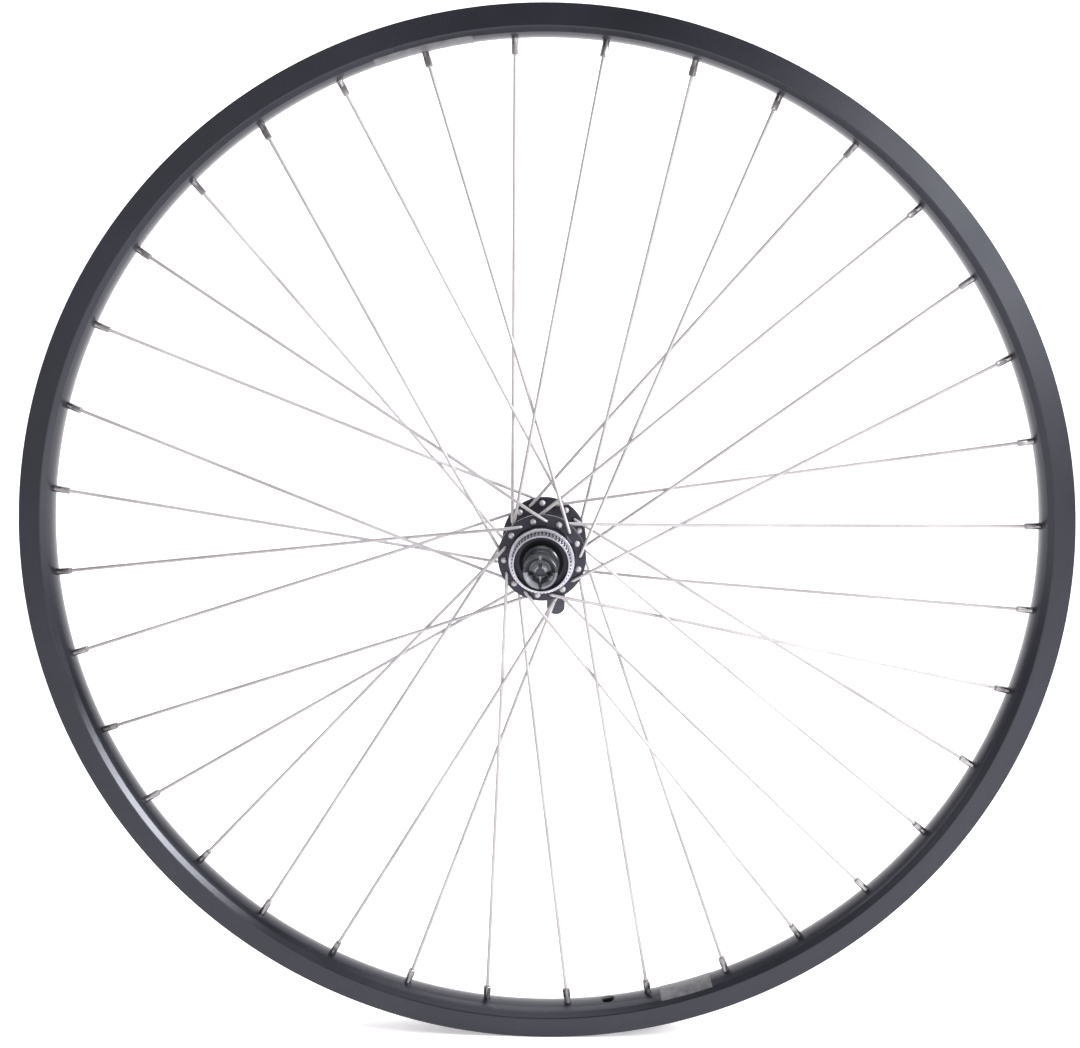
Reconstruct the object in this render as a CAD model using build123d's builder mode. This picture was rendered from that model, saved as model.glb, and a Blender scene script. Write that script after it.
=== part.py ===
from build123d import *
import os
from math import cos, pi, radians, sin, sqrt, tan

os.makedirs("parts", exist_ok=True)

# A spoked front bicycle wheel for a disc brake, with its quick-release skewer. Millimetres.
# The axle lies along Y, the disc side at -Y and the lever side at +Y, with +Z up.
# The origin is the centre of the rim. Angles round the axle run from +X towards +Z.

DISC_SIDE = -1
LEVER_SIDE = 1
SIDE_NAMES = {DISC_SIDE: "disc_side", LEVER_SIDE: "lever_side"}

# Shared fits
PRESS_GAP = 0.02        # between a pressed piece and its seat, on the radius
RUNNING_GAP = 0.05      # between a shaft and the hole it turns in, on the radius
ROUND_SIDE_COUNT = 6    # flats that stand for a round on the small pieces and holes that repeat

# Rim: a hooked, hollow aluminium section
BEAD_SEAT_DIAMETER = 622.0
RIM_LIP_HEIGHT = 6.0
RIM_WIDTH = 25.0
RIM_LIP_WIDTH = 3.0
RIM_DEPTH = 18.0
RIM_SIDE_HEIGHT = 12.8
RIM_SIDE_WALL = 1.7
RIM_BED_WIDTH = 12.0
RIM_BED_WALL = 1.9
RIM_FLOOR_WALL = 1.4
HOOK_DEPTH = 3.2
HOOK_NOSE = 1.6
LIP_CHAMFER = 0.8
WELL_DEPTH = 3.0
WELL_WIDTH = 11.0
WELL_SLOPE = 1.8
VALVE_HOLE_DIAMETER = 8.5
ACCESS_HOLE_DIAMETER = 8.2

# Spokes and nipples
SPOKE_COUNT = 36
CROSSES = 3
RIM_PHASE = 3.06
SPOKE_DIAMETER = 2.0
SPOKE_HEAD_DIAMETER = 3.9
SPOKE_HEAD_HEIGHT = 1.4
ELBOW_CUT = 0.8
ELBOW_LIFT = 0.1
LACE_GAP = 0.1
SPOKE_IN_RIM = 1.0
NIPPLE_DIAMETER = 4.0
NIPPLE_REACH = 8.7
NIPPLE_HEAD_DIAMETER = 6.0
NIPPLE_HEAD_HEIGHT = 2.0
NIPPLE_SEAT_GAP = 0.55
NIPPLE_HOLE_GAP = 0.25
SPOKE_THREAD_GAP = 0.08

# Hub shell
DISC_FLANGE_INSET = 26.8
LEVER_FLANGE_INSET = 16.0
FLANGE_EDGE = 3.75
FLANGE_THICKNESS = 3.0
FLANGE_CHAMFER = 0.5
SPOKE_HOLE_GAP = 0.3
BARREL_DIAMETER = 28.0
BARREL_ROOT_DIAMETER = 34.0
BARREL_FLARE = 10.0
SHELL_BORE_DIAMETER = 18.6
NOSE_DIAMETER = 34.0
NOSE_TIP_DIAMETER = 31.5

# Splined ring that carries the brake disc
SPLINE_DIAMETER = 35.4
SPLINE_COUNT = 52
SPLINE_DEPTH = 0.85
SPLINE_GROOVE = 1.0
SPLINE_LENGTH = 9.0
SPLINE_LIP = 0.8
SPLINE_WALL = 0.95
DISC_SEAT_INSET = 17.0
DISC_SEAT_WIDTH = 1.75
DISC_SEAT_THICKNESS = 4.5
SPOKE_HEAD_GAP = 1.1

# Cup-and-cone bearings
BALL_DIAMETER = 4.7625
BALL_COUNT = 10
BALL_SIDE_COUNT = 8
DISC_ROW_INSET = 19.0
LEVER_ROW_INSET = 11.0
RACE_GAP = 0.06
CUP_SEAT_WALL = 2.9
CUP_WALL = 1.35875
CUP_LIP = 3.0
CUP_FLOOR = 1.5
CUP_BORE_LIP = 1.0
CAP_THICKNESS = 1.0
CAP_GAP = 0.4
CONE_TAIL = 1.5
CONE_RIM = 1.6
CONE_NECK_DIAMETER = 15.0
CONE_FLATS = 13.0
DISC_CONE_LENGTH = 9.0
LEVER_CONE_LENGTH = 5.5

# Axle and what is clamped on it
AXLE_DIAMETER = 9.0
AXLE_BORE_GAP = 0.2
AXLE_PROUD = 4.0
LOCKNUT_WIDTH = 100.0
LOCKNUT_THICKNESS = 4.0
LOCKNUT_FLATS = 14.0
SPACER_DIAMETER = 13.0
BOOT_DIAMETER = 22.0
BOOT_FRONT_DIAMETER = 17.2
BOOT_SHOULDER = 0.4
BOOT_GAP = 0.5
BOOT_FRONT_INSET = 0.6

# Quick-release skewer
ROD_DIAMETER = 5.0
CLAMP_GAP = 1.2
CLAMP_BORE_DIAMETER = 12.4
CLAMP_BORE_DEPTH = 5.3
CLAMP_CHAMFER = 0.7
NUT_DIAMETER = 19.9
NUT_LENGTH = 11.2
NUT_EDGE = 0.5
NUT_RIM = 1.3
DISH_DEPTH = 3.6
DISH_SLOPE = 2.4
DISH_VALLEY = 0.25
NUT_BOSS_WALL = 0.75
NUT_BOSS_DROP = 0.8
NUT_RIB_COUNT = 3
NUT_RIB_WIDTH = 2.8
NUT_RIB_DROP = 1.2
NUT_GROOVE_WIDTH = 0.9
NUT_GROOVE_DEPTH = 1.8
NUT_SLIT_WIDTH = 0.8
ROD_END_INSET = 1.5
HOUSING_DIAMETER = 18.0
HOUSING_EDGE = 2.0
HOUSING_END_WALL = 2.0
HOUSING_HEAD_GAP = 0.7
PIVOT_STAND = 10.8
CAM_DIAMETER = 4.0
CAM_THROW = 1.0
CAM_GAP = 0.3
ROD_HEAD_DIAMETER = 9.6
ROD_HEAD_WALL = 2.2
ROD_HEAD_GAP = 1.0
LEVER_JOURNAL_DIAMETER = 7.0
LEVER_BOSS_DIAMETER = 13.0
LEVER_BOSS_THICKNESS = 4.0
LEVER_SIDE_GAP = 0.4
LEVER_REACH = 56.5
LEVER_PADDLE_INNER = 1.1
LEVER_PADDLE_OUTER = 12.7
LEVER_THICKNESS = 4.2
LEVER_BOW = 5.0
LEVER_NECK = 13.0
LEVER_CAP_DIAMETER = 9.0
LEVER_CAP_THICKNESS = 3.0

# Worked-out sizes
SEAT_R = BEAD_SEAT_DIAMETER / 2
RIM_R = SEAT_R + RIM_LIP_HEIGHT
BED_R = RIM_R - RIM_DEPTH
WELL_R = SEAT_R - WELL_DEPTH
SHOULDER_R = RIM_R - RIM_SIDE_HEIGHT
HALF_WIDTH = RIM_WIDTH / 2
CAVITY_HALF_WIDTH = HALF_WIDTH - RIM_SIDE_WALL
LIP_HALF_WIDTH = HALF_WIDTH - RIM_LIP_WIDTH
RIM_PITCH = 360 / SPOKE_COUNT
HUB_PITCH = 2 * RIM_PITCH
LACING_TURN = CROSSES * HUB_PITCH
CROSSING_TURN = LACING_TURN - HUB_PITCH / 2
VALVE_ANGLE = RIM_PHASE + (SPOKE_COUNT * 3 / 4 + 0.5) * RIM_PITCH
SPOKE_R = SPOKE_DIAMETER / 2
HALF_HUB = LOCKNUT_WIDTH / 2
FLANGE_OFFSET = {DISC_SIDE: HALF_HUB - DISC_FLANGE_INSET, LEVER_SIDE: HALF_HUB - LEVER_FLANGE_INSET}
BALL_ROW_OFFSET = {DISC_SIDE: HALF_HUB - DISC_ROW_INSET, LEVER_SIDE: HALF_HUB - LEVER_ROW_INSET}
CONE_LENGTH = {DISC_SIDE: DISC_CONE_LENGTH, LEVER_SIDE: LEVER_CONE_LENGTH}
DISC_SEAT_OFFSET = HALF_HUB - DISC_SEAT_INSET
SPLINE_R = SPLINE_DIAMETER / 2
SPLINE_ROOT_R = SPLINE_R - SPLINE_DEPTH
SPLINE_BORE_R = SPLINE_ROOT_R - SPLINE_WALL
DISC_SEAT_R = SPLINE_R + DISC_SEAT_WIDTH
HOLE_CIRCLE_R = DISC_SEAT_R + SPOKE_HEAD_GAP + SPOKE_HEAD_DIAMETER / 2
FLANGE_R = HOLE_CIRCLE_R + FLANGE_EDGE
BALL_R = BALL_DIAMETER / 2
RACE_R = BALL_R + RACE_GAP
CUP_R = SPLINE_BORE_R - CUP_SEAT_WALL
BALL_CIRCLE_R = CUP_R - CUP_WALL - RACE_R
CUP_BORE_R = BALL_CIRCLE_R - CUP_BORE_LIP
CUP_DEPTH = RACE_R + CUP_FLOOR
SHELL_END = CUP_LIP + PRESS_GAP + CAP_THICKNESS
CONE_RIM_END = RACE_R + CONE_RIM
AXLE_R = AXLE_DIAMETER / 2
CONE_BORE_R = AXLE_R + RUNNING_GAP
LOCKNUT_START = HALF_HUB - LOCKNUT_THICKNESS
CLAMP_START = HALF_HUB + CLAMP_GAP
CLAMP_BORE_R = CLAMP_BORE_DIAMETER / 2
NUT_R = NUT_DIAMETER / 2
NUT_BORE_R = ROD_DIAMETER / 2 + RUNNING_GAP
NUT_TIP_R = NUT_BORE_R + NUT_BOSS_WALL
DISH_R = NUT_R - NUT_RIM
NUT_BOSS_R = DISH_R - DISH_SLOPE - DISH_VALLEY
HOUSING_R = HOUSING_DIAMETER / 2
CAM_R = CAM_DIAMETER / 2
ROD_HEAD_HALF = CAM_R + CAM_GAP + ROD_HEAD_WALL
HEAD_BORE_R = ROD_HEAD_DIAMETER / 2 + ROD_HEAD_GAP
CAM_END = sqrt(HEAD_BORE_R**2 - (CAM_R + CAM_THROW)**2)
LEVER_START = HOUSING_R + LEVER_SIDE_GAP
PIVOT_OFFSET = CLAMP_START + PIVOT_STAND
HEAD_CENTRE = PIVOT_OFFSET + CAM_THROW
HOUSING_END = HEAD_CENTRE + ROD_HEAD_HALF + HOUSING_HEAD_GAP + HOUSING_END_WALL
HOUSING_LENGTH = HOUSING_END - CLAMP_START


def on_wheel(radius, angle, y):
    """A point at a radius and angle round the axle."""
    return Vector(radius * cos(radians(angle)), y, radius * sin(radians(angle)))


def outboard(side, offset):
    """Plane for a section turned about the axle: x is the radius, y runs out from the hub."""
    return Plane(origin=(0, side * offset, 0), x_dir=(1, 0, 0), z_dir=(0, 0, side))


def across_axle(side, offset):
    """Plane square to the axle whose normal runs out from the hub."""
    return Plane(origin=(0, side * offset, 0), x_dir=(1, 0, 0), z_dir=(0, side, 0))


def save(part, name):
    """Labels a finished piece and writes it."""
    part.label = name
    export_step(part, f"parts/{name}.step")


class Lacing:
    """Where one spoke leaves its flange, crosses its partner and enters the rim."""

    def __init__(self, index):
        self.side = DISC_SIDE if index % 2 == 0 else LEVER_SIDE
        self.elbow_out = index % 4 >= 2
        lean = 1 if self.elbow_out else -1
        flange_y = self.side * FLANGE_OFFSET[self.side]
        rim_angle = RIM_PHASE + index * RIM_PITCH
        hub_angle = rim_angle - lean * LACING_TURN
        self.away = Vector(0, self.side * lean, 0)
        hole = on_wheel(HOLE_CIRCLE_R, hub_angle, flange_y)
        self.head_seat = hole - self.away * (FLANGE_THICKNESS / 2)
        self.corner = hole + self.away * (FLANGE_THICKNESS / 2 + SPOKE_R + ELBOW_LIFT)
        self.rim_seat = on_wheel(BED_R, rim_angle, 0)
        bisector = on_wheel(1, hub_angle + lean * CROSSING_TURN, 0)
        share = hole.cross(bisector).Y / (hole - self.rim_seat).cross(bisector).Y
        clear = self.away * ((SPOKE_DIAMETER + LACE_GAP) / 2)
        self.crossing = hole + (self.rim_seat - hole) * share - clear
        self.axis = (self.rim_seat - self.crossing).normalized()
        heading = on_wheel(1, rim_angle, 0) * BED_R - on_wheel(1, hub_angle, 0) * HOLE_CIRCLE_R
        heading = heading.normalized()
        inward = on_wheel(HOLE_CIRCLE_R, hub_angle, 0).dot(heading)
        clear_r = FLANGE_R + SPOKE_DIAMETER
        reach = sqrt(inward**2 - HOLE_CIRCLE_R**2 + clear_r**2) - inward
        self.flange_exit = self.corner + heading * reach

    def route(self):
        """Corner points of the wire, from the head's seat to the threaded end."""
        leads_to = [self.flange_exit, self.crossing] if self.elbow_out else [self.crossing]
        run = (leads_to[0] - self.corner).normalized()
        into_elbow = self.corner - self.away * ELBOW_CUT
        out_of_elbow = self.corner + run * ELBOW_CUT
        end = self.rim_seat + self.axis * SPOKE_IN_RIM
        return [self.head_seat, into_elbow, out_of_elbow, *leads_to, end]

    def along_nipple(self, distance):
        """Plane square to the nipple, at a distance out from the rim's spoke bed."""
        return Plane(origin=self.rim_seat + self.axis * distance, z_dir=self.axis)


lacings = [Lacing(index) for index in range(SPOKE_COUNT)]

# Rim
with BuildPart() as rim:
    with BuildSketch(Plane.XY):
        with BuildLine():
            Polyline(
                (WELL_R, 0),
                (WELL_R, WELL_WIDTH / 2),
                (SEAT_R, WELL_WIDTH / 2 + WELL_SLOPE),
                (SEAT_R, CAVITY_HALF_WIDTH),
                (RIM_R - HOOK_DEPTH, CAVITY_HALF_WIDTH),
                (RIM_R - HOOK_NOSE, LIP_HALF_WIDTH),
                (RIM_R, LIP_HALF_WIDTH + LIP_CHAMFER),
                (RIM_R, HALF_WIDTH),
                (SHOULDER_R, HALF_WIDTH),
                (BED_R, RIM_BED_WIDTH / 2),
                (BED_R, 0),
            )
            mirror(about=Plane.XZ)
        make_face()
        with BuildLine():
            Polyline(
                (WELL_R - RIM_FLOOR_WALL, 0),
                (WELL_R - RIM_FLOOR_WALL, WELL_WIDTH / 2),
                (SEAT_R - RIM_FLOOR_WALL, WELL_WIDTH / 2 + WELL_SLOPE),
                (SEAT_R - RIM_FLOOR_WALL, CAVITY_HALF_WIDTH),
                (SHOULDER_R, CAVITY_HALF_WIDTH),
                (BED_R + RIM_BED_WALL, RIM_BED_WIDTH / 2 - RIM_SIDE_WALL / 2),
                (BED_R + RIM_BED_WALL, 0),
            )
            mirror(about=Plane.XZ)
        make_face(mode=Mode.SUBTRACT)
    revolve(axis=Axis.Y)
    with BuildSketch(*[lacing.along_nipple(-RIM_BED_WALL) for lacing in lacings]):
        RegularPolygon(NIPPLE_DIAMETER / 2 + NIPPLE_HOLE_GAP, ROUND_SIDE_COUNT, major_radius=False)
    extrude(amount=3 * RIM_BED_WALL, mode=Mode.SUBTRACT)
    access_start = WELL_R - 2 * RIM_FLOOR_WALL - BED_R
    with BuildSketch(*[lacing.along_nipple(access_start) for lacing in lacings]):
        RegularPolygon(ACCESS_HOLE_DIAMETER / 2, ROUND_SIDE_COUNT, major_radius=False)
    extrude(amount=RIM_DEPTH / 2, mode=Mode.SUBTRACT)
    valve_mouth = on_wheel(BED_R - RIM_BED_WALL, VALVE_ANGLE, 0)
    with BuildSketch(Plane(origin=valve_mouth, z_dir=valve_mouth)):
        Circle(VALVE_HOLE_DIAMETER / 2)
    extrude(amount=RIM_DEPTH, mode=Mode.SUBTRACT)
save(rim.part, "rim")

# Spokes: a headed wire bent over the flange, round its partner and into its nipple
for number, lacing in enumerate(lacings, start=1):
    with BuildPart() as spoke:
        with BuildLine() as route:
            Polyline(*lacing.route())
        with BuildSketch(Plane(origin=lacing.head_seat, z_dir=lacing.away)):
            RegularPolygon(SPOKE_R, ROUND_SIDE_COUNT)
        sweep(path=route.wires()[0], transition=Transition.RIGHT)
        with BuildSketch(Plane(origin=lacing.head_seat, z_dir=-lacing.away)):
            RegularPolygon(SPOKE_HEAD_DIAMETER / 2, ROUND_SIDE_COUNT)
        extrude(amount=SPOKE_HEAD_HEIGHT)
    save(spoke.part, f"spoke_{number:02d}")

# Nipples: a barrel through the rim's spoke bed with its head inside the rim
NIPPLE_HEAD_START = RIM_BED_WALL + NIPPLE_SEAT_GAP
with BuildPart() as spoke_nipples:
    with BuildSketch(*[lacing.along_nipple(-NIPPLE_REACH) for lacing in lacings]):
        RegularPolygon(NIPPLE_DIAMETER / 2, ROUND_SIDE_COUNT)
    extrude(amount=NIPPLE_REACH + NIPPLE_HEAD_START)
    with BuildSketch(*[lacing.along_nipple(NIPPLE_HEAD_START) for lacing in lacings]):
        RegularPolygon(NIPPLE_HEAD_DIAMETER / 2, ROUND_SIDE_COUNT)
    extrude(amount=NIPPLE_HEAD_HEIGHT)
    with BuildSketch(*[lacing.along_nipple(-NIPPLE_REACH) for lacing in lacings]):
        RegularPolygon(SPOKE_R + SPOKE_THREAD_GAP, ROUND_SIDE_COUNT, major_radius=False)
    extrude(amount=NIPPLE_REACH + NIPPLE_HEAD_START + NIPPLE_HEAD_HEIGHT, mode=Mode.SUBTRACT)
save(spoke_nipples.part, "spoke_nipples")

# Hub shell: two drilled flanges on a waisted barrel, with a seat for a bearing cup at each end
DISC_END = -BALL_ROW_OFFSET[DISC_SIDE] - SHELL_END
LEVER_END = BALL_ROW_OFFSET[LEVER_SIDE] + SHELL_END
DISC_CUP_FLOOR = -BALL_ROW_OFFSET[DISC_SIDE] + CUP_DEPTH
LEVER_CUP_FLOOR = BALL_ROW_OFFSET[LEVER_SIDE] - CUP_DEPTH
RING_BACK = -DISC_SEAT_OFFSET + DISC_SEAT_THICKNESS
DISC_FLANGE_OUT = -FLANGE_OFFSET[DISC_SIDE] - FLANGE_THICKNESS / 2
DISC_FLANGE_IN = DISC_FLANGE_OUT + FLANGE_THICKNESS
LEVER_FLANGE_OUT = FLANGE_OFFSET[LEVER_SIDE] + FLANGE_THICKNESS / 2
LEVER_FLANGE_IN = LEVER_FLANGE_OUT - FLANGE_THICKNESS
with BuildPart() as hub_shell:
    with BuildSketch(Plane.XY):
        with BuildLine():
            Polyline(
                (SPLINE_BORE_R - PRESS_GAP, DISC_END),
                (SPLINE_BORE_R - PRESS_GAP, RING_BACK),
                (DISC_SEAT_R, RING_BACK),
                (DISC_SEAT_R, DISC_FLANGE_OUT),
                (FLANGE_R - FLANGE_CHAMFER, DISC_FLANGE_OUT),
                (FLANGE_R, DISC_FLANGE_OUT + FLANGE_CHAMFER),
                (FLANGE_R, DISC_FLANGE_IN),
                (BARREL_ROOT_DIAMETER / 2, DISC_FLANGE_IN),
                (BARREL_DIAMETER / 2, DISC_FLANGE_IN + BARREL_FLARE),
                (BARREL_DIAMETER / 2, LEVER_FLANGE_IN - BARREL_FLARE),
                (BARREL_ROOT_DIAMETER / 2, LEVER_FLANGE_IN),
                (FLANGE_R, LEVER_FLANGE_IN),
                (FLANGE_R, LEVER_FLANGE_OUT - FLANGE_CHAMFER),
                (FLANGE_R - FLANGE_CHAMFER, LEVER_FLANGE_OUT),
                (NOSE_DIAMETER / 2, LEVER_FLANGE_OUT),
                (NOSE_TIP_DIAMETER / 2, LEVER_END),
                (CUP_R + PRESS_GAP, LEVER_END),
                (CUP_R + PRESS_GAP, LEVER_CUP_FLOOR),
                (SHELL_BORE_DIAMETER / 2, LEVER_CUP_FLOOR),
                (SHELL_BORE_DIAMETER / 2, DISC_CUP_FLOOR),
                (CUP_R + PRESS_GAP, DISC_CUP_FLOOR),
                (CUP_R + PRESS_GAP, DISC_END),
                close=True,
            )
        make_face()
    revolve(axis=Axis.Y)
    for side, flange_offset in FLANGE_OFFSET.items():
        first_hole = RIM_PHASE if side == DISC_SIDE else RIM_PHASE + RIM_PITCH
        with BuildSketch(Plane.XZ.offset(FLANGE_THICKNESS - side * flange_offset)):
            with PolarLocations(HOLE_CIRCLE_R, SPOKE_COUNT // 2, start_angle=first_hole):
                RegularPolygon(SPOKE_R + SPOKE_HOLE_GAP, ROUND_SIDE_COUNT, major_radius=False)
        extrude(amount=-2 * FLANGE_THICKNESS, mode=Mode.SUBTRACT)
save(hub_shell.part, "hub_shell")

# Splined ring for the brake disc, pressed on the hub shell
with BuildPart() as rotor_spline_ring:
    with BuildSketch(across_axle(DISC_SIDE, DISC_SEAT_OFFSET - DISC_SEAT_THICKNESS)):
        Circle(DISC_SEAT_R)
        Circle(SPLINE_BORE_R, mode=Mode.SUBTRACT)
    extrude(amount=DISC_SEAT_THICKNESS)
    with BuildSketch(across_axle(DISC_SIDE, DISC_SEAT_OFFSET)):
        Circle(SPLINE_R)
        with PolarLocations(SPLINE_R, SPLINE_COUNT):
            Rectangle(2 * SPLINE_DEPTH, SPLINE_GROOVE, mode=Mode.SUBTRACT)
        Circle(SPLINE_BORE_R, mode=Mode.SUBTRACT)
    extrude(amount=SPLINE_LENGTH - SPLINE_LIP)
    with BuildSketch(across_axle(DISC_SIDE, DISC_SEAT_OFFSET + SPLINE_LENGTH - SPLINE_LIP)):
        Circle(SPLINE_ROOT_R)
        Circle(SPLINE_BORE_R, mode=Mode.SUBTRACT)
    extrude(amount=SPLINE_LIP)
save(rotor_spline_ring.part, "rotor_spline_ring")

# One bearing ball: three crossed prisms whose corners lie on the ball
with BuildPart() as ball:
    with BuildSketch(Plane.XY):
        RegularPolygon(BALL_R / sqrt(1.5), BALL_SIDE_COUNT)
    extrude(amount=BALL_DIAMETER, both=True)
    for plane in (Plane.XZ, Plane.YZ):
        with BuildSketch(plane):
            RegularPolygon(BALL_R / sqrt(1.5), BALL_SIDE_COUNT)
        extrude(amount=BALL_DIAMETER, both=True, mode=Mode.INTERSECT)

# Bearings: a pressed cup, loose balls, a cone screwed on the axle and a dust cap on each side
for side, name in SIDE_NAMES.items():
    row = outboard(side, BALL_ROW_OFFSET[side])
    chamfer = RACE_R * tan(pi / 8)

    with BuildPart() as cup:
        with BuildSketch(row):
            with BuildLine():
                Polyline(
                    (BALL_CIRCLE_R + chamfer, -RACE_R),
                    (CUP_BORE_R, -RACE_R),
                    (CUP_BORE_R, -CUP_DEPTH),
                    (CUP_R, -CUP_DEPTH),
                    (CUP_R, CUP_LIP),
                    (BALL_CIRCLE_R + RACE_R, CUP_LIP),
                    (BALL_CIRCLE_R + RACE_R, -chamfer),
                    close=True,
                )
            make_face()
        revolve(axis=Axis.Y)
    save(cup.part, f"{name}_bearing_cup")

    with BuildPart() as balls:
        with PolarLocations(BALL_CIRCLE_R, BALL_COUNT):
            add(ball.part)
    save(Plane.XZ.offset(-side * BALL_ROW_OFFSET[side]) * balls.part, f"{name}_bearing_balls")

    with BuildPart() as cone:
        with BuildSketch(row):
            with BuildLine():
                Polyline(
                    (BALL_CIRCLE_R - RACE_R, chamfer),
                    (BALL_CIRCLE_R - chamfer, RACE_R),
                    (BALL_CIRCLE_R, RACE_R),
                    (BALL_CIRCLE_R, CONE_RIM_END),
                    (CONE_BORE_R, CONE_RIM_END),
                    (CONE_BORE_R, -CONE_TAIL),
                    (BALL_CIRCLE_R - RACE_R, -CONE_TAIL),
                    close=True,
                )
            make_face()
        revolve(axis=Axis.Y)
        with BuildSketch(across_axle(side, BALL_ROW_OFFSET[side] + CONE_RIM_END)):
            Circle(CONE_NECK_DIAMETER / 2)
            Rectangle(CONE_NECK_DIAMETER, CONE_FLATS, mode=Mode.INTERSECT)
            Circle(CONE_BORE_R, mode=Mode.SUBTRACT)
        extrude(amount=CONE_LENGTH[side] - CONE_RIM_END)
    save(cone.part, f"{name}_bearing_cone")

    with BuildPart() as cap:
        with BuildSketch(across_axle(side, BALL_ROW_OFFSET[side] + CUP_LIP + PRESS_GAP)):
            Circle(CUP_R)
            Circle(BALL_CIRCLE_R + CAP_GAP, mode=Mode.SUBTRACT)
        extrude(amount=CAP_THICKNESS)
    save(cap.part, f"{name}_dust_cap")

# Hollow axle with the spacers and locknuts that hold the cones
with BuildPart() as axle:
    with BuildSketch(Plane.XZ):
        Circle(AXLE_R)
        Circle(ROD_DIAMETER / 2 + AXLE_BORE_GAP, mode=Mode.SUBTRACT)
    extrude(amount=HALF_HUB + AXLE_PROUD, both=True)
save(axle.part, "axle")

for side, name in SIDE_NAMES.items():
    cone_end = BALL_ROW_OFFSET[side] + CONE_LENGTH[side]
    with BuildPart() as spacer:
        with BuildSketch(across_axle(side, cone_end)):
            Circle(SPACER_DIAMETER / 2)
            Circle(CONE_BORE_R, mode=Mode.SUBTRACT)
        extrude(amount=LOCKNUT_START - cone_end)
    save(spacer.part, f"{name}_spacer")

with BuildPart() as axle_locknuts:
    with BuildSketch(across_axle(DISC_SIDE, LOCKNUT_START), across_axle(LEVER_SIDE, LOCKNUT_START)):
        RegularPolygon(LOCKNUT_FLATS / 2, 6, major_radius=False)
        Circle(CONE_BORE_R, mode=Mode.SUBTRACT)
    extrude(amount=LOCKNUT_THICKNESS)
save(axle_locknuts.part, "axle_locknuts")

# Rubber boot that shields the disc-side cone
BOOT_BACK = BALL_ROW_OFFSET[DISC_SIDE] + CONE_RIM_END + BOOT_GAP
BOOT_LENGTH = LOCKNUT_START - BOOT_FRONT_INSET - BOOT_BACK
with BuildPart() as axle_boot:
    with BuildSketch(outboard(DISC_SIDE, BOOT_BACK)):
        with BuildLine():
            Polyline(
                (CONE_NECK_DIAMETER / 2 + RUNNING_GAP, 0),
                (BOOT_DIAMETER / 2, 0),
                (BOOT_DIAMETER / 2, BOOT_SHOULDER * BOOT_LENGTH),
                (BOOT_FRONT_DIAMETER / 2, BOOT_LENGTH),
                (CONE_NECK_DIAMETER / 2 + RUNNING_GAP, BOOT_LENGTH),
                close=True,
            )
        make_face()
    revolve(axis=Axis.Y)
save(axle_boot.part, "axle_boot")

# Skewer nut: a dished thumb nut with a three-lobed boss, a rib behind each groove and a slit in its rim
with BuildPart() as skewer_nut:
    with BuildSketch(outboard(DISC_SIDE, CLAMP_START)):
        with BuildLine():
            Polyline(
                (CLAMP_BORE_R, 0),
                (NUT_R - CLAMP_CHAMFER, 0),
                (NUT_R, CLAMP_CHAMFER),
                (NUT_R, NUT_LENGTH - NUT_EDGE),
                (NUT_R - NUT_EDGE, NUT_LENGTH),
                (DISH_R, NUT_LENGTH),
                (DISH_R - DISH_SLOPE, NUT_LENGTH - DISH_DEPTH),
                (NUT_BOSS_R, NUT_LENGTH - DISH_DEPTH),
                (NUT_TIP_R, NUT_LENGTH - NUT_BOSS_DROP),
                (NUT_BORE_R, NUT_LENGTH - NUT_BOSS_DROP),
                (NUT_BORE_R, CLAMP_BORE_DEPTH),
                (CLAMP_BORE_R, CLAMP_BORE_DEPTH),
                close=True,
            )
        make_face()
    revolve(axis=Axis.Y)
    rib_start = NUT_BOSS_R - (NUT_BOSS_R - NUT_TIP_R) / 4
    with BuildSketch(across_axle(DISC_SIDE, CLAMP_START + NUT_LENGTH - DISH_DEPTH)):
        with PolarLocations((rib_start + DISH_R) / 2, NUT_RIB_COUNT, start_angle=90):
            Rectangle(DISH_R - rib_start, NUT_RIB_WIDTH)
    extrude(amount=DISH_DEPTH - NUT_RIB_DROP)
    with BuildSketch(across_axle(DISC_SIDE, CLAMP_START + NUT_LENGTH - NUT_BOSS_DROP - NUT_GROOVE_DEPTH)):
        with PolarLocations(rib_start / 2, NUT_RIB_COUNT, start_angle=90):
            Rectangle(rib_start, NUT_GROOVE_WIDTH)
    extrude(amount=NUT_BOSS_DROP + NUT_GROOVE_DEPTH, mode=Mode.SUBTRACT)
    with BuildSketch(across_axle(DISC_SIDE, CLAMP_START + NUT_LENGTH - DISH_DEPTH)):
        with Locations((0, -NUT_R)):
            Rectangle(NUT_SLIT_WIDTH, 2 * (NUT_RIM + DISH_SLOPE))
    extrude(amount=DISH_DEPTH, mode=Mode.SUBTRACT)
save(skewer_nut.part, "skewer_nut")

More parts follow.
